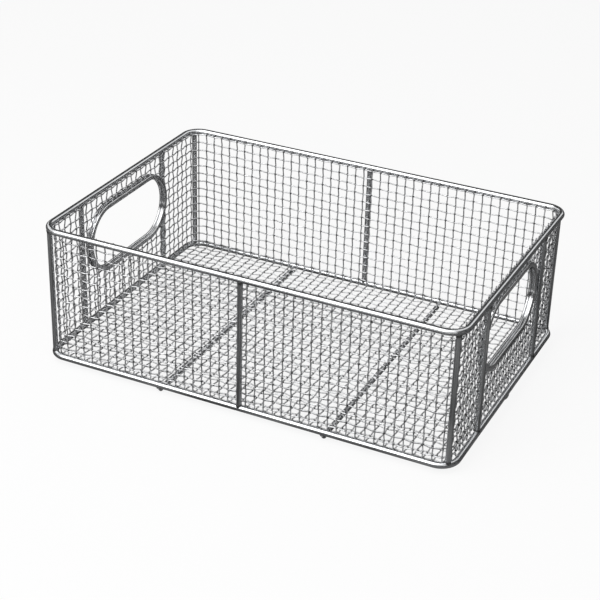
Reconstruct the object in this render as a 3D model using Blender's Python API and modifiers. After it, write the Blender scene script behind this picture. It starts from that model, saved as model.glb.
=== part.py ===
"""Open basket of woven wire on a welded rod frame, with a lined hand slot in each short end.

The basket stands on the floor at z = 0. Its length runs along X and its width along Y, and its front is the
long side at -Y.
"""

import math

import bmesh
import bpy
from mathutils import Matrix

for leftover in list(bpy.data.objects):
    bpy.data.objects.remove(leftover)

mm = 0.001

# Driving sizes. The first four are taken between the centres of the rods.
basket_length = 409 * mm
basket_width = 278 * mm
wall_height = 130.6 * mm
hoop_corner_radius = 16.5 * mm
hoop_thickness = 6 * mm
post_thickness = 5 * mm
runner_thickness = 5 * mm
runner_spacing = 167 * mm
runner_end_inset = 2 * mm
runner_end_bevel = 0.5 * mm
clearance = 0.3 * mm
weld_distance = 0.001 * mm

# Wire mesh. The real wires stand 9 mm apart and pass over and under each other. Here one straight wire
# stands for two or three of them.
wire_thickness = 1.4 * mm
wire_bite = 0.4 * mm
net_selvage = 5 * mm
band_selvage = 16 * mm
net_drop = 1.7 * mm
long_columns = 16
short_rows = 11
wall_rows = 6
beside_columns = 3
band_columns = 6

# Hand slot: its clear opening, and the channel that lines it.
slot_length = 134 * mm
slot_height = 60 * mm
slot_rise = 81.7 * mm
liner_reach = 5 * mm
liner_recess = 0.5 * mm
liner_sheet = 1 * mm
flange_thickness = 2 * mm
flange_round_share = 0.3

# How finely the round pieces are faceted.
rod_sides = 12
hoop_bend_steps = 6
slot_bend_steps = 9

# Places worked out from the sizes above, in order from the floor up.
net_thickness = 2 * wire_thickness - wire_bite
layer_offset = (wire_thickness - wire_bite) / 2
runner_flat = runner_thickness / 2 * math.cos(math.pi / rod_sides)
floor_net_bottom = 2 * runner_flat + clearance
ring_level = floor_net_bottom + hoop_thickness / 2
rim_level = ring_level + wall_height
wall_net_bottom = floor_net_bottom + net_thickness + clearance
wall_net_top = rim_level + hoop_thickness / 2 - net_drop
slot_level = ring_level + slot_rise
hoop_inner = hoop_thickness / 2 + clearance
net_inset = hoop_inner + net_thickness / 2
net_corner_radius = hoop_corner_radius - net_inset
net_turn = math.pi / 4
channel_depth = net_thickness + 2 * clearance
web_reach = liner_recess + liner_sheet
stay_offset = slot_length / 2 + liner_reach + clearance + post_thickness / 2
post_inset = hoop_corner_radius * (1 - math.cos(math.pi / 4))

basket = bpy.data.collections.new("wire_basket")
tools = bpy.data.collections.new("cutting_and_joining_shapes")
bpy.context.scene.collection.children.link(basket)
bpy.context.scene.collection.children.link(tools)


def metal(name, colour, roughness):
    material = bpy.data.materials.new(name)
    material.use_nodes = True
    shader = material.node_tree.nodes["Principled BSDF"]
    shader.inputs["Base Color"].default_value = (*colour, 1)
    shader.inputs["Roughness"].default_value = roughness
    shader.inputs["Metallic"].default_value = 1
    return material


polished_rod = metal("polished_rod", (0.72, 0.73, 0.75), 0.18)
drawn_wire = metal("drawn_wire", (0.62, 0.63, 0.65), 0.32)
pressed_channel = metal("pressed_channel", (0.75, 0.76, 0.78), 0.12)


def place(item, name, material, collection=basket):
    """Names the object, gives it its metal and puts it in its collection. The render leaves helpers out."""
    item.name = name
    item.data.name = name
    item.data.materials.clear()
    item.data.materials.append(material)
    collection.objects.link(item)
    if collection is tools:
        item.hide_render = True
        item.display_type = "WIRE"
    return item


def smooth(item):
    """Rounds the shading of a rod's long facets and keeps the edges of its cut ends."""
    item.data.shade_smooth()
    item.data.set_sharp_from_angle(angle=math.radians(50))


def arc(centre, radius, start, turn, steps):
    """Points on part of a circle, from the angle start through the angle turn."""
    angles = [start + turn * step / steps for step in range(steps + 1)]
    return [(centre[0] + radius * math.cos(a), centre[1] + radius * math.sin(a)) for a in angles]


def rounded_rectangle(length, width, radius, steps):
    """Outline that runs anticlockwise, with one arc at each corner."""
    points = []
    for quarter, (side_x, side_y) in enumerate(((1, 1), (-1, 1), (-1, -1), (1, -1))):
        centre = (side_x * (length / 2 - radius), side_y * (width / 2 - radius))
        points += arc(centre, radius, quarter * math.pi / 2, math.pi / 2, steps)
    return points


def slot_outline(length, height):
    """Outline of a slot with half-round ends, which runs anticlockwise."""
    radius = height / 2
    centre = length / 2 - radius
    right_end = arc((centre, 0), radius, -math.pi / 2, math.pi, slot_bend_steps)
    left_end = arc((-centre, 0), radius, math.pi / 2, math.pi, slot_bend_steps)
    return right_end + left_end


def polyline(curve, points, closed):
    """Adds one straight-segmented line through the points, which may leave out their z."""
    line = curve.splines.new("POLY")
    line.points.add(len(points) - 1)
    for corner, point in zip(line.points, points):
        corner.co = (*point, 0, 1) if len(point) == 2 else (*point, 1)
    line.use_cyclic_u = closed


def swept(lines, closed, thickness=None, rounding=0, profile=None):
    """Mesh object of a round wire, or of a closed profile, run along each line."""
    curve = bpy.data.curves.new("swept_line", "CURVE")
    curve.dimensions = "3D" if profile is None else "2D"
    curve.twist_mode = "Z_UP"
    for points in lines:
        polyline(curve, points, closed)
    if profile is None:
        curve.bevel_depth = thickness / 2
        curve.bevel_resolution = rounding
        curve.use_fill_caps = True
        return as_mesh(curve)
    section = bpy.data.curves.new("swept_section", "CURVE")
    section.dimensions = "2D"
    polyline(section, profile, True)
    section_object = bpy.data.objects.new("swept_section", section)
    curve.fill_mode = "NONE"
    curve.bevel_mode = "OBJECT"
    curve.bevel_object = section_object
    result = as_mesh(curve)
    bpy.data.objects.remove(section_object)
    return result


def as_mesh(curve):
    """Turns the curve into a mesh whose caps are sewn to its sides."""
    drawn = bpy.data.objects.new("drawn_curve", curve)
    bpy.context.scene.collection.objects.link(drawn)
    graph = bpy.context.evaluated_depsgraph_get()
    mesh = bpy.data.meshes.new_from_object(drawn.evaluated_get(graph))
    bpy.data.objects.remove(drawn)
    sewn = bmesh.new()
    sewn.from_mesh(mesh)
    bmesh.ops.remove_doubles(sewn, verts=sewn.verts, dist=weld_distance)
    bmesh.ops.recalc_face_normals(sewn, faces=sewn.faces)
    sewn.to_mesh(mesh)
    sewn.free()
    return bpy.data.objects.new("sewn_curve", mesh)


def rod(length, thickness):
    """Straight rod along Z, centred on the origin."""
    mesh = bpy.data.meshes.new("rod")
    shape = bmesh.new()
    radius = thickness / 2
    bmesh.ops.create_cone(
        shape, cap_ends=True, segments=rod_sides, radius1=radius, radius2=radius, depth=length
    )
    shape.to_mesh(mesh)
    shape.free()
    return bpy.data.objects.new("rod", mesh)


def boolean(item, other, operation, name):
    step = item.modifiers.new(name, "BOOLEAN")
    step.operation = operation
    step.solver = "EXACT"
    step.object = other


# Hoops. The rim and the bottom ring are the same rod bent to the same plan.
def hoop(level, thickness):
    plan = rounded_rectangle(basket_length, basket_width, hoop_corner_radius, hoop_bend_steps)
    ring = swept([plan], True, thickness, rounding=rod_sides // 2 - 2)
    ring.location.z = level
    smooth(ring)
    return ring


top_rim = place(hoop(rim_level, hoop_thickness), "top_rim", polished_rod)
bottom_ring = place(hoop(ring_level, hoop_thickness), "bottom_ring", polished_rod)

# The same hoops, thicker by the clearance, cut the saddle in each end of every upright rod.
saddle_thickness = hoop_thickness + 2 * clearance
rim_saddle = place(hoop(rim_level, saddle_thickness), "rim_saddle", polished_rod, tools)
ring_saddle = place(hoop(ring_level, saddle_thickness), "ring_saddle", polished_rod, tools)


def upright(name, x, y, turn):
    """Rod from the middle of one hoop to the middle of the other, with a saddle cut in each end."""
    post = place(rod(wall_height, post_thickness), name, polished_rod)
    post.location = (x, y, (ring_level + rim_level) / 2)
    post.rotation_euler.z = turn
    boolean(post, rim_saddle, "DIFFERENCE", "rim_saddle")
    boolean(post, ring_saddle, "DIFFERENCE", "ring_saddle")
    smooth(post)
    return post


# Uprights: four at the corners, two on the long sides and one on each side of each hand slot.
for end, side_x in (("left", -1), ("right", 1)):
    for face, side_y in (("front", -1), ("back", 1)):
        corner_x = side_x * (basket_length / 2 - post_inset)
        corner_y = side_y * (basket_width / 2 - post_inset)
        upright(f"corner_post_{face}_{end}", corner_x, corner_y, math.pi / 4)
        upright(f"end_stay_{end}_{face}", side_x * basket_length / 2, side_y * stay_offset, 0)
for face, side_y in (("front", -1), ("back", 1)):
    upright(f"mid_post_{face}", 0, side_y * basket_width / 2, 0)


# Runners. Each lies on one of its facets, under the bottom ring.
def runner(name, x):
    bar = place(rod(basket_width - 2 * runner_end_inset, runner_thickness), name, polished_rod)
    half_facet = math.pi / rod_sides
    bar.data.transform(Matrix.Rotation(half_facet, 4, "Z"))
    bar.rotation_euler.x = math.pi / 2
    bar.location = (x, 0, runner_flat)
    smooth(bar)
    ends = bar.modifiers.new("end_bevel", "BEVEL")
    ends.width = runner_end_bevel
    ends.segments = 1
    ends.limit_method = "ANGLE"
    ends.angle_limit = math.radians(60)


runner("floor_runner_left", -runner_spacing / 2)
runner("floor_runner_right", runner_spacing / 2)


# Nets. Straight wires cross in two layers that sink a little into each other.
def net(name, columns, rows):
    """One body of the wires that run up and the wires that run across."""
    item = place(swept(columns, False, wire_thickness), name, drawn_wire)
    across = place(swept(rows, False, wire_thickness), f"{name}_rows", drawn_wire, tools)
    across.parent = item
    boolean(item, across, "UNION", "join_rows")
    return item


def spaced(low, high, count):
    """Evenly spaced values from low to high, with both ends."""
    return [low + (high - low) * step / (count - 1) for step in range(count)]


def on_wall(distance, straight, outward):
    """Point of a wall that faces -Y and curls round at both ends, this far along from its middle."""
    bend = max(abs(distance) - straight / 2, 0) / net_corner_radius
    flat = min(abs(distance), straight / 2)
    reach = net_corner_radius + outward
    x = flat + reach * math.sin(bend)
    y = net_corner_radius - reach * math.cos(bend)
    return math.copysign(x, distance), y


def half_reach(wall_length):
    """Distance from a wall's middle to its end, which stops just short of the middle of the corner bend."""
    return wall_length / 2 - hoop_corner_radius + net_corner_radius * net_turn - clearance


wall_x = basket_length / 2 - net_inset
wall_y = basket_width / 2 - net_inset
whole_height = (wall_net_bottom, wall_net_top)
wall_levels = spaced(wall_net_bottom + net_selvage, wall_net_top - net_selvage, wall_rows)


def wall_net(name, wall_length, ends, heights, column_distances, seat):
    """Net between two distances along a wall and between two heights. Its rows are level with every wall's."""
    straight = wall_length - 2 * hoop_corner_radius
    low, high = ends
    bottom, top = heights
    columns = []
    for distance in column_distances:
        foot = on_wall(distance, straight, layer_offset)
        columns.append([(*foot, bottom), (*foot, top)])
    # A row turns where the bend starts and at each column in the bend, so that the two still touch there.
    turns = {low, high, -straight / 2, straight / 2, *column_distances}
    turns = sorted(distance for distance in turns if low <= distance <= high)
    stations = [at for at in turns if at in ends or abs(at) >= straight / 2]
    rows = []
    for level in wall_levels:
        if bottom + wire_thickness < level < top - wire_thickness:
            rows.append([(*on_wall(distance, straight, -layer_offset), level) for distance in stations])
    wall = net(name, columns, rows)
    x, y, turn = seat
    wall.location = (x, y, 0)
    wall.rotation_euler.z = turn


# The long walls are one net each.
long_half = half_reach(basket_length)
long_ends = (-long_half, long_half)
long_distances = spaced(net_selvage - long_half, long_half - net_selvage, long_columns)
for face, side_y, turn in (("front", -1, 0), ("back", 1, math.pi)):
    seat = (0, side_y * wall_y, turn)
    wall_net(f"mesh_{face}", basket_length, long_ends, whole_height, long_distances, seat)

# A short wall is four nets round its slot: one on each side of it, one under it and one over it.
short_half = half_reach(basket_width)
slot_edge = slot_length / 2 + web_reach + clearance
under_slot = (wall_net_bottom, slot_level - slot_height / 2 - web_reach - clearance)
over_slot = (slot_level + slot_height / 2 + web_reach + clearance, wall_net_top)
beside_distances = spaced(slot_edge + net_selvage, short_half - net_selvage, beside_columns)
band_distances = spaced(band_selvage - slot_edge, slot_edge - band_selvage, band_columns)
band_ends = (clearance - slot_edge, slot_edge - clearance)
for end, side_x in (("left", -1), ("right", 1)):
    seat = (side_x * wall_x, 0, side_x * math.pi / 2)
    for face, side_y in (("front", -1), ("back", 1)):
        side = side_x * side_y
        ends = sorted((side * slot_edge, side * short_half))
        distances = [side * distance for distance in beside_distances]
        wall_net(f"mesh_{end}_{face}", basket_width, ends, whole_height, distances, seat)
    wall_net(f"mesh_{end}_under_slot", basket_width, band_ends, under_slot, band_distances, seat)
    wall_net(f"mesh_{end}_over_slot", basket_width, band_ends, over_slot, band_distances, seat)


def wire_end(distance, half_across, half_along):
    """How far a floor wire at this distance from the middle runs before it meets the rounded outline."""
    radius = hoop_corner_radius - hoop_inner
    past_bend = max(abs(distance) - (half_across - radius), 0)
    return half_along - radius + math.sqrt(radius**2 - past_bend**2)


# Floor. Its lower wires run along X, so that they bear on both runners.
floor_x = basket_length / 2 - hoop_inner
floor_y = basket_width / 2 - hoop_inner
lower_level = floor_net_bottom + wire_thickness / 2
upper_level = lower_level + 2 * layer_offset
floor_columns = []
for x in spaced(net_selvage - floor_x, floor_x - net_selvage, long_columns):
    reach = wire_end(x, floor_x, floor_y)
    floor_columns.append([(x, -reach, upper_level), (x, reach, upper_level)])
floor_rows = []
for y in spaced(net_selvage - floor_y, floor_y - net_selvage, short_rows):
    reach = wire_end(y, floor_y, floor_x)
    floor_rows.append([(-reach, y, lower_level), (reach, y, lower_level)])
net("mesh_floor", floor_columns, floor_rows)


# Hand slots. Each is lined by a channel that takes the cut ends of the wires.
def channel_profile():
    """Section of the lining: a web at the slot's edge between two flanges with rounded edges."""
    inner = channel_depth / 2
    outer = inner + flange_thickness
    cut = flange_thickness * flange_round_share
    half = [
        (liner_recess, inner),
        (0, inner + cut),
        (0, outer - cut),
        (cut, outer),
        (liner_reach - cut, outer),
        (liner_reach, outer - cut),
        (liner_reach, inner + cut),
        (liner_reach - cut, inner),
        (web_reach, inner),
    ]
    mirrored = [(reach, -depth) for reach, depth in reversed(half)]
    return [(-reach, depth) for reach, depth in half + mirrored]


def slot_liner(name, x):
    """Ring swept flat on the ground and then stood up, with its length along Y."""
    liner = swept([slot_outline(slot_length, slot_height)], True, profile=channel_profile())
    place(liner, name, pressed_channel)
    liner.rotation_euler = (math.pi / 2, 0, math.pi / 2)
    liner.location = (x, 0, slot_level)
    smooth(liner)


slot_liner("slot_liner_left", -wall_x)
slot_liner("slot_liner_right", wall_x)
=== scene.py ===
# %% [markdown]
# # A basket of woven wire
#
# The basket is a frame of welded rods with wire mesh inside it. Its rods, hand slots and nets exist
# already, as plain measured solids. In this lesson each of them gets the shape and the metal of the
# real piece: round rods that flow into their welds, pressed linings with rolled lips, and mesh whose
# wires really pass over and under each other. The measured solids are loaded first, and every new
# piece takes its place from them.

# %% Load the measured solids
import math

import bpy
import numpy as np
from mathutils import Matrix, Vector


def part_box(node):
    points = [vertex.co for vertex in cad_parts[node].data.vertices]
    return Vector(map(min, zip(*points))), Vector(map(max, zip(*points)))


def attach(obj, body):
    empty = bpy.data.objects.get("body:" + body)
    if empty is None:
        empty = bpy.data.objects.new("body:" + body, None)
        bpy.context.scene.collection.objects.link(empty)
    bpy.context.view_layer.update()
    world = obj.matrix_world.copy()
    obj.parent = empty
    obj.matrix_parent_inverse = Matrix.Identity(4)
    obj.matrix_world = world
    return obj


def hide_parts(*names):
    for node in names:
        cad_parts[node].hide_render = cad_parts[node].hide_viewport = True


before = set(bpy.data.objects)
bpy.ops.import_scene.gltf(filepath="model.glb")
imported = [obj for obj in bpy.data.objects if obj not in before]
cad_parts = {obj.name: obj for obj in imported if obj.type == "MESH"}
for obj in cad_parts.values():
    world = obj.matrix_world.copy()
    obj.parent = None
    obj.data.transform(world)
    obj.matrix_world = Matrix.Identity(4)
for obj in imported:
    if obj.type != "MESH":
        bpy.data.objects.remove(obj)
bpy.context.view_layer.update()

mm = 0.001


# %% [markdown]
# ## Read the main sizes off the solids
#
# Nothing is measured twice. A solid's box gives the level and thickness of a rod, and the plan of the
# basket. Only what a box can't tell is typed here, such as how tightly the hoops are bent.

# %% Main sizes
def middle_of(node):
    """Centre of a solid's box."""
    low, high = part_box(node)
    return (low + high) / 2


def span_of(node):
    """Lengths of a solid's box along X, Y and Z."""
    low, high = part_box(node)
    return high - low


hoop_radius = span_of("top_rim").z / 2
half_length = span_of("top_rim").x / 2 - hoop_radius
half_width = span_of("top_rim").y / 2 - hoop_radius
rim_level = middle_of("top_rim").z
ring_level = middle_of("bottom_ring").z
corner_bend = 16.5 * mm
post_radius = span_of("mid_post_front").y / 2
print("Hoops of", round(2 * hoop_radius / mm, 2), "mm rod")
print("Posts of", round(2 * post_radius / mm, 2), "mm rod")

# %% [markdown]
# ## Rings along a path
#
# Almost everything here is a round section carried along a path: a rod, a wire, a weld. Blender's
# curves can do that, but we want two things more. The thickness has to change along the way, where a
# rod swells into its weld, and each point has to remember where it lies on the metal, so that the
# finish can follow the grain round every bend. So we build the rings of points ourselves and join
# them with faces.
#
# To carry a ring along a path without twisting it, its sideways direction is flattened into the plane
# of each next ring. That is a simple form of what is called parallel transport.

# %% Rings along a path
def carried_frames(path, closed):
    """For each point of the path: the point, and two directions square to the path there."""
    count = len(path)
    found = []
    side = None
    for index, point in enumerate(path):
        before = path[index - 1] if closed or index > 0 else point
        after = path[(index + 1) % count] if closed or index < count - 1 else point
        heading = (after - before).normalized()
        if side is None:
            side = heading.orthogonal()
        side = (side - heading * side.dot(heading)).normalized()
        found.append((point, side, heading.cross(side)))
    return found


# %% [markdown]
# ## From rings to a piece
#
# A piece first collects its points and faces, and becomes a mesh object when it is whole. Each point
# takes along two attributes, which the finishes read later. The grain is its place on the metal, in
# three numbers. The mark is one number more, such as how close a weld is.
#
# The whole mesh is shaded smooth, so that a few flat faces look round. Only edges that turn by more
# than the sharp turn stay crisp, as at the cut end of a rod.

# %% Metalwork
sharp_turn = math.radians(50)


class Metalwork:
    """Points and faces of one piece, with the grain and the mark of each point."""

    def __init__(self):
        self.points = []
        self.grains = []
        self.marks = []
        self.faces = []

    def loft(self, rings, closed=False):
        """Joins rings of (point, grain, mark) into a skin. An open one gets a cap at each end."""
        first = len(self.points)
        sides = len(rings[0])
        for ring in rings:
            for point, grain, mark in ring:
                self.points.append(point)
                self.grains.append(grain)
                self.marks.append(mark)
        for index in range(len(rings) if closed else len(rings) - 1):
            here = first + index * sides
            there = first + (index + 1) % len(rings) * sides
            for corner in range(sides):
                beside = (corner + 1) % sides
                self.faces.append((here + corner, here + beside, there + beside, there + corner))
        if not closed:
            last = first + (len(rings) - 1) * sides
            self.faces.append(range(first + sides - 1, first - 1, -1))
            self.faces.append(range(last, last + sides))

    def tube(self, path, radii, sides, tag, closed=False):
        """Round tube. tag(index, outward, turn) gives the grain and the mark of a point of a ring."""
        rings = []
        for index, (centre, side, up) in enumerate(carried_frames(path, closed)):
            ring = []
            for corner in range(sides):
                turn = 2 * math.pi * corner / sides
                outward = side * math.cos(turn) + up * math.sin(turn)
                ring.append((centre + outward * radii[index], *tag(index, outward, turn)))
            rings.append(ring)
        self.loft(rings, closed)

    def finish(self, name, metal, slot, *nodes):
        """Makes the object, hangs it under the root body, and hides these measured solids."""
        mesh = bpy.data.meshes.new(name)
        mesh.from_pydata(self.points, [], self.faces)
        grain = mesh.attributes.new("grain", "FLOAT_VECTOR", "POINT")
        grain.data.foreach_set("vector", np.array(self.grains, np.float32).ravel())
        mark = mesh.attributes.new("mark", "FLOAT", "POINT")
        mark.data.foreach_set("value", np.array(self.marks, np.float32))
        mesh.shade_smooth()
        mesh.set_sharp_from_angle(angle=sharp_turn)
        mesh.materials.append(metal)
        piece = bpy.data.objects.new(name, mesh)
        bpy.context.scene.collection.objects.link(piece)
        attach(piece, "root")
        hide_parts(*nodes)
        print(name, "has", len(mesh.polygons), "faces")


# %% [markdown]
# ## Helpers for the finishes
#
# A finish is a small network of shader nodes, and a few helpers keep the cells that follow short. The
# first makes a material and sets its shader, and the second adds any node and sets its inputs. Two more
# fetch what a finish starts from: the grain and the mark, or the place of the point that is being
# shaded.

# %% Materials and nodes
def new_finish(name, **settings):
    """Material whose shader has these settings. Returns the material, its tree and its shader."""
    finish = bpy.data.materials.new(name)
    finish.use_nodes = True
    shader = finish.node_tree.nodes["Principled BSDF"]
    for socket, value in settings.items():
        shader.inputs[socket].default_value = value
    return finish, finish.node_tree, shader


def add_node(tree, kind, inputs=(), **settings):
    """Adds a node. inputs maps a socket to a value, or to another node's output socket."""
    node = tree.nodes.new(kind)
    for setting, value in settings.items():
        setattr(node, setting, value)
    for socket, value in dict(inputs).items():
        if isinstance(value, bpy.types.NodeSocket):
            tree.links.new(value, node.inputs[socket])
        else:
            node.inputs[socket].default_value = value
    return node


def grain_and_mark(tree):
    """Outputs with the grain and the mark of the point that is being shaded."""
    grain = add_node(tree, "ShaderNodeAttribute", attribute_name="grain").outputs["Vector"]
    mark = add_node(tree, "ShaderNodeAttribute", attribute_name="mark").outputs["Fac"]
    return grain, mark


def place_of_point(tree):
    """Output with the place of the point that is being shaded, in metres."""
    return add_node(tree, "ShaderNodeTexCoord").outputs["Object"]


# %% [markdown]
# Four kinds of node come back in the finish of every metal, so each gets a helper of its own: noise, a
# calculation, a value squeezed between two limits into the range that a socket wants, and a blend of
# two colours.

# %% Four kinds of node
def noise(tree, place, scale, detail):
    """Output of a noise texture, whose values crowd round a half."""
    inputs = {"Vector": place, "Scale": scale, "Detail": detail}
    return add_node(tree, "ShaderNodeTexNoise", inputs).outputs["Fac"]


def computed(tree, operation, *values):
    """Output of a Math node that works on these values."""
    inputs = dict(enumerate(values))
    return add_node(tree, "ShaderNodeMath", inputs, operation=operation).outputs[0]


def squeezed(tree, value, limits, results):
    """Output that goes smoothly from one result to the other as the value passes the two limits."""
    sockets = ("Value", "From Min", "From Max", "To Min", "To Max")
    inputs = dict(zip(sockets, (value, *limits, *results)))
    node = add_node(tree, "ShaderNodeMapRange", inputs, interpolation_type="SMOOTHSTEP")
    return node.outputs["Result"]


def blended(tree, share, first, second):
    """Colour output that goes from the first colour to the second as the share goes from 0 to 1."""
    # A Mix node has sockets for several kinds of data. Colours go in at 6 and 7 and come out at 2.
    inputs = {0: share, 6: first, 7: second}
    return add_node(tree, "ShaderNodeMix", inputs, data_type="RGBA").outputs[2]


# %% [markdown]
# ## The rods' finish
#
# The rods are drawn through a die, which leaves faint lines along them. The welded basket is then
# polished in an acid bath, which rounds those lines off and leaves soft ripples. Close to a weld the
# skin is duller and darker. We could paint this with image textures, but noise that is stretched along
# the grain gives the same streaks at any size, with no seam round the bends.

# %% Polished rod
rod_bright = (0.74, 0.75, 0.76, 1)
rod_dull = (0.62, 0.63, 0.645, 1)
weld_dull = (0.12, 0.118, 0.115, 1)
weld_cover = 0.85
rod_stretch = (9, 9, 40)
rod_roughness = (0.13, 0.24)
weld_roughening = 0.16
line_relief = 0.4
rod_bump = 0.12
bump_depth = 0.05 * mm

polished_rod, tree, shader = new_finish("polished_rod", Metallic=1)
grain, weld = grain_and_mark(tree)
stretched = add_node(tree, "ShaderNodeMapping", {"Vector": grain, "Scale": rod_stretch}).outputs[0]
lines = noise(tree, stretched, scale=2, detail=3)
place = place_of_point(tree)
ripples = noise(tree, place, scale=320, detail=2)
clouds = noise(tree, place, scale=28, detail=3)
cloud_share = squeezed(tree, clouds, limits=(0.35, 0.7), results=(0, 1))
skin = blended(tree, cloud_share, rod_bright, rod_dull)
weld_share = squeezed(tree, weld, limits=(0.2, 1), results=(0, weld_cover))
tree.links.new(blended(tree, weld_share, skin, weld_dull), shader.inputs["Base Color"])
smear = squeezed(tree, lines, limits=(0.3, 0.75), results=rod_roughness)
dullness = computed(tree, "MULTIPLY_ADD", weld_share, weld_roughening, smear)
tree.links.new(dullness, shader.inputs["Roughness"])
relief = computed(tree, "MULTIPLY_ADD", lines, line_relief, ripples)
bump = add_node(tree, "ShaderNodeBump", {"Height": relief, "Strength": rod_bump, "Distance": bump_depth})
tree.links.new(bump.outputs[0], shader.inputs["Normal"])
print(polished_rod.name, "has", len(tree.nodes), "nodes")

# %% [markdown]
# ## The hoops
#
# Two hoops of the same rod give the basket its plan: the rim at the top and the ring at the bottom.
# Each is one rod bent round four corners, whose ends are welded together. A Bezier circle could be
# squared off by hand, but a path made of four quarter circles has the exact bend of a bending tool.

# %% Path of a hoop
bend_steps = 14


def hoop_path(level):
    """Anticlockwise path from the middle of the back, with a quarter circle at each corner."""
    path = [Vector((0, half_width, level))]
    for quarter, (side_x, side_y) in enumerate(((-1, 1), (-1, -1), (1, -1), (1, 1))):
        centre_x = side_x * (half_length - corner_bend)
        centre_y = side_y * (half_width - corner_bend)
        centre = Vector((centre_x, centre_y, level))
        for step in range(bend_steps + 1):
            angle = math.pi / 2 * (1 + quarter + step / bend_steps)
            path.append(centre + corner_bend * Vector((math.cos(angle), math.sin(angle), 0)))
    return path


# %% [markdown]
# The grain of a rod counts how far along it a point lies. On a hoop it starts in the middle of the
# back, so on the last run, from the back right corner to that place, it has to fall to nothing again,
# and the drawn lines are shorter there.
#
# The second helper is for weld metal that stands proud, which welders call a bead. It is a stretched or
# squashed ball, sunk into the rod that carries it.

# %% Grain of the rods, and beads
rod_sides = 32
bead_steps = 8
bead_tip_share = 1 / 50


def lengths_along(path):
    """Distance of each point of the path from its start."""
    lengths = [0.0]
    for before, after in zip(path, path[1:]):
        lengths.append(lengths[-1] + (after - before).length)
    return lengths


def rod_tag(lengths, weld_marks):
    """Grain of a rod: round it in X and Y and along it in Z. The mark says how close a weld is."""
    def tag(index, outward, turn):
        return (math.cos(turn), math.sin(turn), lengths[index]), weld_marks[index]
    return tag


def bead(piece, centre, reach, radius, weld_mark):
    """Ball of weld metal. reach goes from its centre to its tip, and radius is measured across that."""
    shares = [math.cos(math.pi * step / bead_steps) for step in range(bead_steps + 1)]
    path = [centre + reach * share for share in shares]
    radii = [radius * max(math.sqrt(1 - share**2), bead_tip_share) for share in shares]
    tag = rod_tag(lengths_along(path), [weld_mark] * len(path))
    piece.tube(path, radii, rod_sides // 2, tag)


# %% [markdown]
# The rim's joint is ground away. The ring's joint is in the middle of the right-hand side, and its
# weld metal has sagged into a low bead under the rod, a little to the outside.

# %% Rim and bottom ring
joint_reach = 6 * mm
joint_radius = 1.5 * mm
joint_turn = math.radians(-60)
joint_mark = 0.3

for node, level in (("top_rim", rim_level), ("bottom_ring", ring_level)):
    path = hoop_path(level)
    hoop = Metalwork()
    tag = rod_tag(lengths_along(path), [0] * len(path))
    hoop.tube(path, [hoop_radius] * len(path), rod_sides, tag, closed=True)
    if node == "bottom_ring":
        below = hoop_radius * Vector((math.cos(joint_turn), 0, math.sin(joint_turn)))
        joint = Vector((half_length, 0, level)) + below
        bead(hoop, joint, Vector((0, joint_reach, 0)), joint_radius, joint_mark)
    hoop.finish(f"polished_{node}", polished_rod, "polished_rod", node)

# %% [markdown]
# ## The posts
#
# Ten shorter rods stand between the hoops: four in the corners, one in the middle of each long side,
# and one on each side of each hand slot. On the solids they stop a hair short of the hoops. On the
# real basket the weld metal has run into that gap, so here each post swells at its ends and dives into
# the hoop. Each row of the profile says how far it lies from the hoop's centre line, how much the post
# swells there, and how strongly the weld marks its skin.

# %% Posts with their welds
weld_profile = (
    (0.8 * mm, 0.15 * mm, 1.0),
    (2.0 * mm, 0.45 * mm, 1.0),
    (2.9 * mm, 0.38 * mm, 1.0),
    (3.4 * mm, 0.24 * mm, 0.9),
    (4.0 * mm, 0.10 * mm, 0.65),
    (4.8 * mm, 0.02 * mm, 0.35),
    (6.5 * mm, 0.0, 0.0),
)


def standing_post(node):
    """Upright rod where the solid stands, from the bottom ring's centre line to the rim's."""
    foot = middle_of(node)
    rise = [(ring_level + away, swell, near) for away, swell, near in weld_profile]
    rise += [(rim_level - away, swell, near) for away, swell, near in reversed(weld_profile)]
    path = [Vector((foot.x, foot.y, level)) for level, swell, near in rise]
    radii = [post_radius + swell for level, swell, near in rise]
    tag = rod_tag(lengths_along(path), [near for level, swell, near in rise])
    post = Metalwork()
    post.tube(path, radii, rod_sides, tag)
    post.finish(f"polished_{node}", polished_rod, "polished_rod", node)


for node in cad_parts:
    if "post" in node or "stay" in node:
        standing_post(node)

# %% [markdown]
# ## The runners
#
# Two rods under the floor carry the basket, and their rounded ends show below the bottom ring as small
# lugs. Where a runner crosses the ring, the two are pressed and welded together. That squeezes out a
# low bead, which we add as a squashed ball between the two rods.

# %% Runners with their beads
end_round = 0.6 * mm
end_steps = 5
bead_radius = 2.3 * mm
bead_height = 0.75 * mm
full_mark = 1

for node in ("floor_runner_left", "floor_runner_right"):
    low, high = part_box(node)
    radius = (high.x - low.x) / 2
    centre = (low + high) / 2
    half = (high.y - low.y) / 2
    turns = [math.pi / 2 * step / end_steps for step in range(end_steps + 1)]
    outer = [
        (half - end_round * (1 - math.sin(turn)), radius - end_round * (1 - math.cos(turn)))
        for turn in turns
    ]
    places = [(-reach, thick) for reach, thick in reversed(outer)] + outer
    path = [Vector((centre.x, reach, radius)) for reach, thick in places]
    runner = Metalwork()
    tag = rod_tag(lengths_along(path), [0] * len(path))
    runner.tube(path, [thick for reach, thick in places], rod_sides, tag)
    for side in (-1, 1):
        joint = Vector((centre.x, side * half_width, 2 * radius))
        bead(runner, joint, Vector((0, 0, bead_height)), bead_radius, full_mark)
    runner.finish(f"polished_{node}", polished_rod, "polished_rod", node)

# %% [markdown]
# ## The linings' finish
#
# A slot cut in wire mesh has sharp ends all round, so a channel of pressed sheet is closed over them.
# The sheet is brushed before it is pressed, so its lines follow the channel, and the rolled edges are
# polished afterwards. The section of the channel marks those edges with 1, and the finish turns the
# mark into a brighter and smoother skin.

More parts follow.
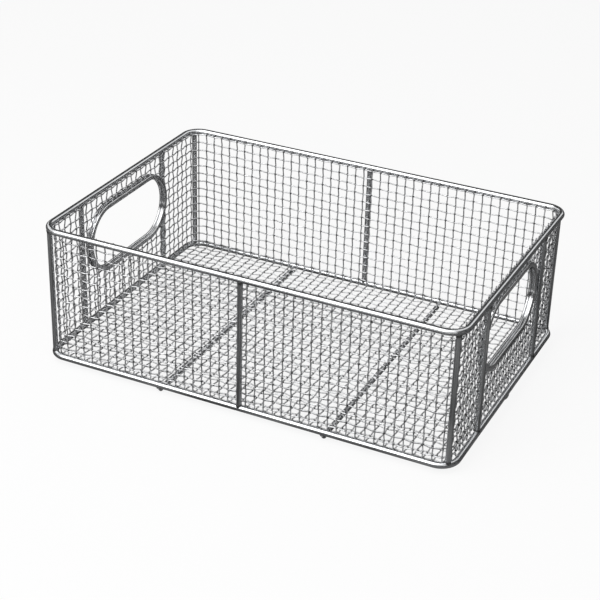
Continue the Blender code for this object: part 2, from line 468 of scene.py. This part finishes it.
# %% Pressed sheet
sheet_bright = (0.76, 0.765, 0.775, 1)
sheet_dull = (0.60, 0.605, 0.615, 1)
edge_bright = (0.84, 0.845, 0.85, 1)
edge_cover = 0.8
sheet_stretch = (1.4, 1.4, 28)
sheet_roughness = (0.1, 0.18)
edge_roughening = -0.08
stroke_relief = 0.5
sheet_bump = 0.1

pressed_sheet, tree, shader = new_finish("pressed_sheet", Metallic=1)
grain, edge = grain_and_mark(tree)
stretched = add_node(tree, "ShaderNodeMapping", {"Vector": grain, "Scale": sheet_stretch}).outputs[0]
strokes = noise(tree, stretched, scale=3, detail=4)
press_marks = noise(tree, place_of_point(tree), scale=60, detail=3)
press_share = squeezed(tree, press_marks, limits=(0.35, 0.7), results=(0, 1))
skin = blended(tree, press_share, sheet_bright, sheet_dull)
edge_share = squeezed(tree, edge, limits=(0.2, 1), results=(0, edge_cover))
tree.links.new(blended(tree, edge_share, skin, edge_bright), shader.inputs["Base Color"])
smear = squeezed(tree, strokes, limits=(0.3, 0.7), results=sheet_roughness)
dullness = computed(tree, "MULTIPLY_ADD", edge_share, edge_roughening, smear)
tree.links.new(dullness, shader.inputs["Roughness"])
relief = computed(tree, "MULTIPLY_ADD", strokes, stroke_relief, press_marks)
bump = add_node(tree, "ShaderNodeBump", {"Height": relief, "Strength": sheet_bump, "Distance": bump_depth})
tree.links.new(bump.outputs[0], shader.inputs["Normal"])
print(pressed_sheet.name, "has", len(tree.nodes), "nodes")

# %% [markdown]
# ## The linings of the hand slots
#
# The channel's two lips hold the mesh between them. Each is rolled into a full round at the slot's
# edge, and a groove runs between the two rolls, where the web joins them. Bevelling a sharp channel
# would round every edge alike. So the section is drawn once, with its own radius at each corner, and
# carried round the slot.

# %% Section of the channel
lip_reach = 5 * mm
groove_width = 1.7 * mm
web_recess = 2 * mm
web_thickness = 1 * mm
rear_radius = 1 * mm
small_radius = 0.35 * mm
corner_steps = 6


def rounded_corner(corner, into, out_of, radius):
    """Arc that rounds a corner, between the directions in which the outline comes and goes."""
    corner, into, out_of = Vector(corner), Vector(into), Vector(out_of)
    centre = corner + radius * (out_of - into)
    points = []
    for step in range(corner_steps + 1):
        turn = math.pi / 2 * step / corner_steps
        spot = centre + radius * (into * math.sin(turn) - out_of * math.cos(turn))
        points.append((spot.x, spot.y, math.sin(2 * turn)))
    return points


def channel_section(depth):
    """Outline as (reach away from the slot, place through the wall, share of a rolled edge)."""
    outer = depth / 2
    inner = groove_width / 2
    roll_radius = (outer - inner) / 2
    away, back, out, home = (1, 0), (-1, 0), (0, 1), (0, -1)
    half = [(web_recess, 0.0, 0), (web_recess, inner, 0)]
    half += rounded_corner((0, inner), back, out, roll_radius)
    half += rounded_corner((0, outer), out, away, roll_radius)[1:]
    half += rounded_corner((lip_reach, outer), away, home, rear_radius)
    half += rounded_corner((lip_reach, inner), home, back, small_radius)
    half += [(web_recess + web_thickness, inner, 0)]
    return half + [(reach, -place, rolled) for reach, place, rolled in reversed(half)][:-1]


# %% [markdown]
# The way round a slot is two half circles with straight runs between them. At each step the section
# stands square to that way, with its reach pointing away from the slot. The grain counts the way round,
# and falls back to its start on the last straight run, below the slot.

# %% Two linings
slot_steps = 36

for end in ("left", "right"):
    node = f"slot_liner_{end}"
    centre = middle_of(node)
    span = span_of(node)
    radius = span.z / 2 - lip_reach
    straight = span.y / 2 - lip_reach - radius
    section = channel_section(span.x)
    rings = []
    along = 0.0
    for cap, side in ((0, 1), (1, -1)):
        for step in range(slot_steps + 1):
            angle = math.pi * (cap + step / slot_steps - 0.5)
            away = Vector((0, math.cos(angle), math.sin(angle)))
            edge = centre + Vector((0, side * straight, 0)) + radius * away
            along += math.pi * radius / slot_steps if step else 2 * straight
            ring = []
            for reach, place, rolled in section:
                grain = (reach / mm, place / mm, along)
                ring.append((edge + away * reach + Vector((place, 0, 0)), grain, rolled))
            rings.append(ring)
    liner = Metalwork()
    liner.loft(rings, closed=True)
    liner.finish(f"rolled_{node}", pressed_sheet, "pressed_channel", node)

# %% [markdown]
# ## How a plain weave goes
#
# In a plain weave every wire goes over one neighbour and under the next. Two cosines multiplied give
# that whole pattern: their product is +1 and -1 in turn at the crossings, like a chessboard. The wires
# one way follow it and the wires the other way follow its opposite, so they always meet face to face.

# %% Pattern of the weave
class Weave:
    """The rise and fall of a plain weave, for a sheet whose wires stand this far apart each way."""

    def __init__(self, first_along, pitch_along, first_across, pitch_across):
        self.first = (first_along, first_across)
        self.pitch = (pitch_along, pitch_across)

    def counts(self, along, across):
        """How many pitches the spot lies from the first wire, each way."""
        places = zip((along, across), self.first, self.pitch)
        return tuple((place - first) / pitch for place, first, pitch in places)

    def height(self, along, across):
        """Height of the pattern at a spot of the sheet, from -1 to 1."""
        one, other = self.counts(along, across)
        return math.cos(math.pi * one) * math.cos(math.pi * other)


# %% [markdown]
# ## Wires on a sheet
#
# A modifier could array one cell of mesh, but the wires have to run on unbroken round the corners and
# stop at the hand slots. So each wire is drawn whole, as a tube whose path rises and falls with the
# pattern. Each wave is a little lower than the wire's radius, because the sheet is pressed after
# weaving and the wires dent each other.
#
# The form of a sheet is a function that turns two places on it and a lift off it into a point of the
# basket. So the same code draws the bent walls and the flat floor. Each wire gets a tone of its own
# from a seeded row of random numbers, which is the same at each run.

# %% Wires of one sheet
wire_radius = 0.64 * mm
crimp_share = 0.9
wire_crimp = crimp_share * wire_radius
wire_sides = 8
stations_per_pitch = 4
crowding_share = 0.2


def ticks(low, high, first, step):
    """Both ends, and the multiples of the step from the first between them that don't crowd an end."""
    start = math.ceil((low - first) / step + crowding_share)
    stop = math.floor((high - first) / step - crowding_share)
    return [low] + [first + step * index for index in range(start, stop + 1)] + [high]


def draw_wire(piece, spots, sheet, pattern, side, tone):
    """One wire through these spots. Its grain counts pitches, so a crossing is at whole numbers."""
    lifts = [side * wire_crimp * pattern.height(*spot) for spot in spots]
    path = [sheet(*spot, lift) for spot, lift in zip(spots, lifts)]
    facings = [(sheet(*spot, mm) - sheet(*spot, 0)).normalized() for spot in spots]

    def tag(index, outward, turn):
        off_middle = lifts[index] + wire_radius * outward.dot(facings[index])
        return (*pattern.counts(*spots[index]), off_middle / (2 * wire_radius)), tone

    piece.tube(path, [wire_radius] * len(path), wire_sides, tag)


def lay_sheet(piece, sheet, pattern, uprights, crossers, upright_spans, crosser_spans, seed):
    """Draws the wires of a sheet. The two span functions say between which places each wire runs."""
    tones = np.random.default_rng(seed)
    step_along, step_across = (pitch / stations_per_pitch for pitch in pattern.pitch)
    for along in uprights:
        for low, high in upright_spans(along):
            spots = [(along, across) for across in ticks(low, high, pattern.first[1], step_across)]
            draw_wire(piece, spots, sheet, pattern, 1, tones.random())
    for across in crossers:
        for low, high in crosser_spans(across):
            spots = [(along, across) for along in ticks(low, high, pattern.first[0], step_along)]
            draw_wire(piece, spots, sheet, pattern, -1, tones.random())


# %% [markdown]
# ## The wires' finish
#
# The mesh wire is thin and pale, and its skin is much less smooth than the rods'. Where two wires
# touch, acid and dirt stay in the crevice and the wires shade each other, so the finish darkens every
# crossing: partly dirt, partly painted shade. Every point of a wire knows how
# many pitches it lies from the first wire each way. How far that number is from the next whole one
# tells how close a crossing is. It also knows how far it lies off the middle of the sheet, where the
# two wires touch, so the side that faces the other wire gets the darkest painted shade, and the outer
# side of a crossing is still darkened.

# %% Woven wire
wire_bright = (0.82, 0.825, 0.835, 1)
wire_grey = (0.64, 0.645, 0.655, 1)
# Near black colour of the crossings: partly dirt in the crevice, partly painted shade where the wires
# shade each other.
crevice_dirt_and_shade = (0.03, 0.03, 0.031, 1)
outer_shade_share = 0.6
tone_weight = 0.4
wire_roughness = (0.4, 0.54)
half_pitch = 0.5

woven_wire, tree, shader = new_finish("woven_wire", Metallic=1)
counts, tone = grain_and_mark(tree)
apart = add_node(tree, "ShaderNodeSeparateXYZ", {0: counts}).outputs
nearness = []
for axis in (0, 1):
    gap = computed(tree, "PINGPONG", apart[axis], half_pitch)
    nearness.append(squeezed(tree, gap, limits=(0.06, 0.18), results=(1, 0)))
crossing = computed(tree, "MULTIPLY", *nearness)
off_middle = computed(tree, "ABSOLUTE", apart[2])
# Painted shade: darkest where the two wires touch, and still darkened on the outer side of a crossing.
contact_shade = squeezed(tree, off_middle, limits=(0.2, 0.8), results=(1, outer_shade_share))
crossing_shade_share = computed(tree, "MULTIPLY", crossing, contact_shade)
stains = noise(tree, place_of_point(tree), scale=90, detail=3)
uneven = computed(tree, "MULTIPLY_ADD", tone, tone_weight, stains)
grey_share = squeezed(tree, uneven, limits=(0.45, 0.95), results=(0, 1))
skin = blended(tree, grey_share, wire_bright, wire_grey)
tree.links.new(blended(tree, crossing_shade_share, skin, crevice_dirt_and_shade), shader.inputs["Base Color"])
dullness = squeezed(tree, stains, limits=(0.3, 0.7), results=wire_roughness)
tree.links.new(dullness, shader.inputs["Roughness"])
print(woven_wire.name, "has", len(tree.nodes), "nodes")

# %% [markdown]
# ## The walls
#
# The wall mesh looks like one long strip, bent round the corners inside the hoops and welded to them.
# It is made up of four sheets, whose cut edges meet in the middle of the corner bends, behind the
# posts. Their pitch divides the whole way round into an even number of cells, so the weave runs on
# from sheet to sheet. A place along the strip starts at the middle of the front wall.

# %% Form of the walls
weld_sink = 0.1 * mm
sheet_inset = hoop_radius + 2 * wire_radius - weld_sink
sheet_bend = corner_bend - sheet_inset
long_reach = half_length - corner_bend + sheet_bend * math.pi / 4
short_reach = half_width - corner_bend + sheet_bend * math.pi / 4
cells_round = 146
pitch = 4 * (long_reach + short_reach) / cells_round
wall_low, wall_high = (corner.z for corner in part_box("mesh_front"))
top_selvage = 3 * mm
bottom_selvage = 5.5 * mm
row_count = 15
first_row = wall_low + bottom_selvage
row_pitch = (wall_high - wall_low - top_selvage - bottom_selvage) / (row_count - 1)
rows = [first_row + row_pitch * index for index in range(row_count)]
wall_weave = Weave(pitch / 2, pitch, first_row, row_pitch)
print("Upright wires stand", round(pitch / mm, 2), "mm apart")
print("Rows stand", round(row_pitch / mm, 2), "mm apart")


def wall_sheet(middle, straight, half_across, turn):
    """Maps (place along the strip, level, lift outward) to a point of one wall and half its corners."""
    facing = Matrix.Rotation(turn, 3, "Z")

    def sheet(along, level, lift):
        local = along - middle
        bend = max(abs(local) - straight, 0) / sheet_bend
        reach = sheet_bend + lift
        x = math.copysign(min(abs(local), straight) + reach * math.sin(bend), local)
        y = sheet_inset - half_across + sheet_bend - reach * math.cos(bend)
        return facing @ Vector((x, y, level))

    return sheet


# %% [markdown]
# The long walls are whole. In the short walls a wire that meets the hand slot stops in the groove of
# its lining. The hole there is a straight stretch with a half circle at each end, so the circle's
# equation tells where a line through it enters and leaves.

# %% Where the walls' wires run
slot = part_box("slot_liner_right")
groove_bite = web_recess + web_thickness / 2
slot_middle = (slot[0].z + slot[1].z) / 2
hole_radius = (slot[1].z - slot[0].z) / 2 - lip_reach + groove_bite
hole_straight = (slot[1].y - slot[0].y) / 2 - lip_reach + groove_bite - hole_radius
print("Wires stop at a hole", round(2 * hole_radius / mm, 1), "mm high")


def hole_half(across, straight, radius):
    """Half the length, inside the hole, of a line this far from its middle, or 0 if it misses."""
    past = max(abs(across) - straight, 0)
    return math.sqrt(radius**2 - past**2) if past < radius else 0


def whole_wall(middle, reach):
    """Span functions of a wall without a slot."""
    return lambda along: [(wall_low, wall_high)], lambda level: [(middle - reach, middle + reach)]


def slotted_wall(middle, reach):
    """Span functions of a wall whose wires stop in the groove of the slot's lining."""
    def upright_spans(along):
        half = hole_half(along - middle, hole_straight, hole_radius)
        if not half:
            return [(wall_low, wall_high)]
        return [(wall_low, slot_middle - half), (slot_middle + half, wall_high)]

    def crosser_spans(level):
        half = hole_half(level - slot_middle, 0, hole_radius)
        if not half:
            return [(middle - reach, middle + reach)]
        edge = hole_straight + half
        return [(middle - reach, middle - edge), (middle + edge, middle + reach)]

    return upright_spans, crosser_spans


# %% [markdown]
# Now the four sheets can be laid. Each is turned a quarter further round the basket, and stands for
# the solid nets of its wall: one on a long side, and four round the hand slot on a short one.

# %% Four walls
round_the_slot = ("front", "back", "under_slot", "over_slot")
long_wall = (long_reach, half_length - corner_bend, half_width, whole_wall)
short_wall = (short_reach, half_width - corner_bend, half_length, slotted_wall)
walls = (
    ("front", long_wall, ["mesh_front"]),
    ("right", short_wall, [f"mesh_right_{place}" for place in round_the_slot]),
    ("back", long_wall, ["mesh_back"]),
    ("left", short_wall, [f"mesh_left_{place}" for place in round_the_slot]),
)
for quarter, (name, (reach, straight, half_across, spans), nodes) in enumerate(walls):
    middle = quarter * (long_reach + short_reach)
    sheet = wall_sheet(middle, straight, half_across, quarter * math.pi / 2)
    first = math.ceil((middle - reach) / pitch - 0.5)
    last = math.floor((middle + reach) / pitch - 0.5)
    uprights = [pitch * (index + 0.5) for index in range(first, last + 1)]
    wall = Metalwork()
    lay_sheet(wall, sheet, wall_weave, uprights, rows, *spans(middle, reach), seed=quarter)
    wall.finish(f"woven_{name}_wall", woven_wire, "drawn_wire", *nodes)

# %% [markdown]
# ## The floor
#
# The floor is one flat sheet of the same mesh, inside the bottom ring and on top of the runners. Its
# wires end at the ring, so in the rounded corners they are shorter.

# %% Sheet of the floor
floor_middle = middle_of("mesh_floor").z
drop = ring_level - floor_middle
ring_edge = math.sqrt(hoop_radius**2 - drop**2) - weld_sink
floor_x = half_length - ring_edge
floor_y = half_width - ring_edge
floor_bend = corner_bend - ring_edge
floor_weave = Weave(pitch / 2, pitch, pitch / 2, pitch)
floor_margin_share = 0.6


def floor_sheet(along, across, lift):
    """The floor lies flat, so its two directions are X and Y."""
    return Vector((along, across, floor_middle + lift))


def run_between(offset, half_across, half_along):
    """Span of a floor wire this far from the middle, shorter where the outline rounds a corner."""
    past = max(abs(offset) - (half_across - floor_bend), 0)
    reach = half_along - floor_bend + math.sqrt(floor_bend**2 - past**2)
    return [(-reach, reach)]


def centred_wires(half):
    """Places of the wires to both sides of the middle. The last keep a margin to the floor's edge."""
    count = math.floor(half / pitch + 0.5 - floor_margin_share)
    return [pitch * (index + 0.5) for index in range(-count, count)]


floor = Metalwork()
lay_sheet(
    floor, floor_sheet, floor_weave, centred_wires(floor_x), centred_wires(floor_y),
    lambda along: run_between(along, floor_x, floor_y),
    lambda across: run_between(across, floor_y, floor_x),
    seed=len(walls),
)
floor.finish("woven_floor", woven_wire, "drawn_wire", "mesh_floor")

# %% [markdown]
# ## The studio
#
# Polished metal has hardly a colour of its own: it shows what stands round it, and in an all-white
# room it would drown in white. So photographers lay and hang dark cloth round shiny ware, and leave
# gaps where a highlight should be. Three helpers prepare that: one makes flat panels, one tells which
# rays look at a background, and one changes from one shader to another.

# %% Panels and backgrounds
def flat_panel(name, corner, first_edge, second_edge):
    """Rectangle spanned from one corner by two edges."""
    corner, first_edge, second_edge = Vector(corner), Vector(first_edge), Vector(second_edge)
    mesh = bpy.data.meshes.new(name)
    corners = [corner, corner + first_edge, corner + first_edge + second_edge, corner + second_edge]
    mesh.from_pydata(corners, [], [(0, 1, 2, 3)])
    panel = bpy.data.objects.new(name, mesh)
    bpy.context.scene.collection.objects.link(panel)
    return panel


def white_to_the_eye(tree):
    """Factor that is 1 for rays that show a background: from the camera, off metal, through glass."""
    rays = add_node(tree, "ShaderNodeLightPath").outputs
    seen = rays["Is Camera Ray"]
    for ray in ("Is Glossy Ray", "Is Transmission Ray"):
        seen = computed(tree, "MAXIMUM", seen, rays[ray])
    return seen


def changed_shader(tree, share, first, second):
    """Shader output that goes from the first shader to the second as the share goes from 0 to 1."""
    inputs = {0: share, 1: first.outputs[0], 2: second.outputs[0]}
    return add_node(tree, "ShaderNodeMixShader", inputs).outputs[0]


# %% [markdown]
# The table is plain and pale. It glows for the rays that look at it, which makes the background white,
# but not fully, so it keeps the basket's soft shadow.

# %% Table
table_reach = 8
table_drop = 0.2 * mm
table_pale = (0.95, 0.95, 0.95, 1)
white = (1, 1, 1, 1)
matt = 0.9
glow_share = 0.88

table_corner = (-table_reach, -table_reach, -table_drop)
table = flat_panel("table_top", table_corner, (2 * table_reach, 0, 0), (0, 2 * table_reach, 0))
table_paint, tree, shader = new_finish("table_paint", Roughness=matt)
shader.inputs["Base Color"].default_value = table_pale
glow = add_node(tree, "ShaderNodeEmission", {"Color": white, "Strength": 1})
glowing = computed(tree, "MULTIPLY", white_to_the_eye(tree), glow_share)
surface = changed_shader(tree, glowing, shader, glow)
tree.links.new(surface, tree.nodes["Material Output"].inputs["Surface"])
table.data.materials.append(table_paint)
print("The table reaches", table_reach, "m each way")

# %% [markdown]
# The dark cloth is there for reflections only: the camera and the lamps look straight through it. The
# piece on the table darkens the upright rods. A tall flag behind the basket's left side and the roof
# that joins it draw the dark line along the upper edge of the rims. Low flags all round darken the
# lower half of the rods. The side flag stands nearer, and narrows the bright line on the right rim.
# Cloth has folds, so it gets two greys.

# %% Dark cloth
cloth_reach = 2.5
cloth_front = -0.65
low_flag = 0.95
roof_height = 2.3
roof_front = 0.1
roof_back = 2.4
roof_right = 0.05
side_flag_x = 0.7
side_flag_front = -0.5
side_flag_height = 0.85
cloth_black = (0.04, 0.04, 0.04, 1)
cloth_grey = (0.2, 0.2, 0.2, 1)

cloth_paint, tree, shader = new_finish("cloth_paint", Roughness=matt)
folds = noise(tree, place_of_point(tree), scale=7, detail=2)
fold_share = squeezed(tree, folds, limits=(0.38, 0.62), results=(0, 1))
tree.links.new(blended(tree, fold_share, cloth_black, cloth_grey), shader.inputs["Base Color"])

full = 2 * cloth_reach
roofed = cloth_reach + roof_right
side_run = roof_back - side_flag_front
cloths = (
    ("table_cloth", (-cloth_reach, cloth_front, 0), (full, 0, 0), (0, cloth_reach - cloth_front, 0)),
    ("back_flag", (-cloth_reach, roof_back, 0), (roofed, 0, 0), (0, 0, roof_height)),
    ("roof_flag", (-cloth_reach, roof_front, roof_height), (roofed, 0, 0), (0, roof_back - roof_front, 0)),
    ("far_flag", (-cloth_reach, cloth_reach, 0), (full, 0, 0), (0, 0, low_flag)),
    ("right_flag", (cloth_reach, -cloth_reach, 0), (0, full, 0), (0, 0, low_flag)),
    ("left_flag", (-cloth_reach, -cloth_reach, 0), (0, full, 0), (0, 0, low_flag)),
    ("front_flag", (-cloth_reach, -cloth_reach, 0), (full, 0, 0), (0, 0, low_flag)),
    ("side_flag", (side_flag_x, side_flag_front, 0), (0, side_run, 0), (0, 0, side_flag_height)),
)
for name, corner, first_edge, second_edge in cloths:
    cloth = flat_panel(name, corner, first_edge, second_edge)
    cloth.data.materials.append(cloth_paint)
    cloth.visible_camera = False
    cloth.visible_diffuse = False
    cloth.visible_shadow = False
    cloth.visible_transmission = False
print(len(cloths), "pieces of dark cloth")

# %% [markdown]
# Two soft lamps and a white room light the basket. One lamp hangs over its front half and the other
# stands before its left corner, so the highlights lie on the front of the rods.

# %% Room and lamps
room_light = 0.36

world = bpy.data.worlds.new("white_room")
bpy.context.scene.world = world
world.use_nodes = True
tree = world.node_tree
room = tree.nodes["Background"]
room.inputs["Color"].default_value = white
room.inputs["Strength"].default_value = room_light
room_seen = add_node(tree, "ShaderNodeBackground", {"Color": white, "Strength": 1})
surface = changed_shader(tree, white_to_the_eye(tree), room, room_seen)
tree.links.new(surface, tree.nodes["World Output"].inputs["Surface"])


def soft_lamp(name, place, size, power):
    """Square lamp that shines from its place towards the basket."""
    data = bpy.data.lights.new(name, "AREA")
    data.size = size
    data.energy = power
    lamp = bpy.data.objects.new(name, data)
    lamp.location = place
    towards = Vector((0, 0, rim_level / 2)) - Vector(place)
    lamp.rotation_euler = towards.to_track_quat("-Z", "Y").to_euler()
    bpy.context.scene.collection.objects.link(lamp)
    print(name, "gives", power, "W")


soft_lamp("overhead_softbox", place=(-0.3, -1.0, 1.6), size=2.0, power=24)
soft_lamp("front_softbox", place=(-0.9, -2.0, 1.3), size=1.5, power=11)

# %% [markdown]
# ## The camera
#
# The picture was taken with a long lens from above the front right corner. Its place was found by
# fitting the projection of the basket's straight rods to their images, which leaves a heading, a dip,
# and a small tilt.

# %% Camera
camera_place = Vector((0.5490, -1.1837, 0.7543))
camera_heading = math.radians(25.193)
camera_dip = math.radians(28.262)
camera_tilt = math.radians(1.784)
focal_pixels = 1543.5
picture_pixels = 600
sensor_width = 36

lens = bpy.data.cameras.new("studio_camera")
lens.sensor_width = sensor_width
lens.lens = focal_pixels * sensor_width / picture_pixels
camera = bpy.data.objects.new("studio_camera", lens)
aim = Matrix.Rotation(camera_heading, 4, "Z") @ Matrix.Rotation(math.pi / 2 - camera_dip, 4, "X")
camera.matrix_world = Matrix.Translation(camera_place) @ aim @ Matrix.Rotation(camera_tilt, 4, "Z")
bpy.context.scene.collection.objects.link(camera)
bpy.context.scene.camera = camera
bpy.context.scene.view_settings.view_transform = "Standard"
print("Lens of", round(lens.lens, 1), "mm")
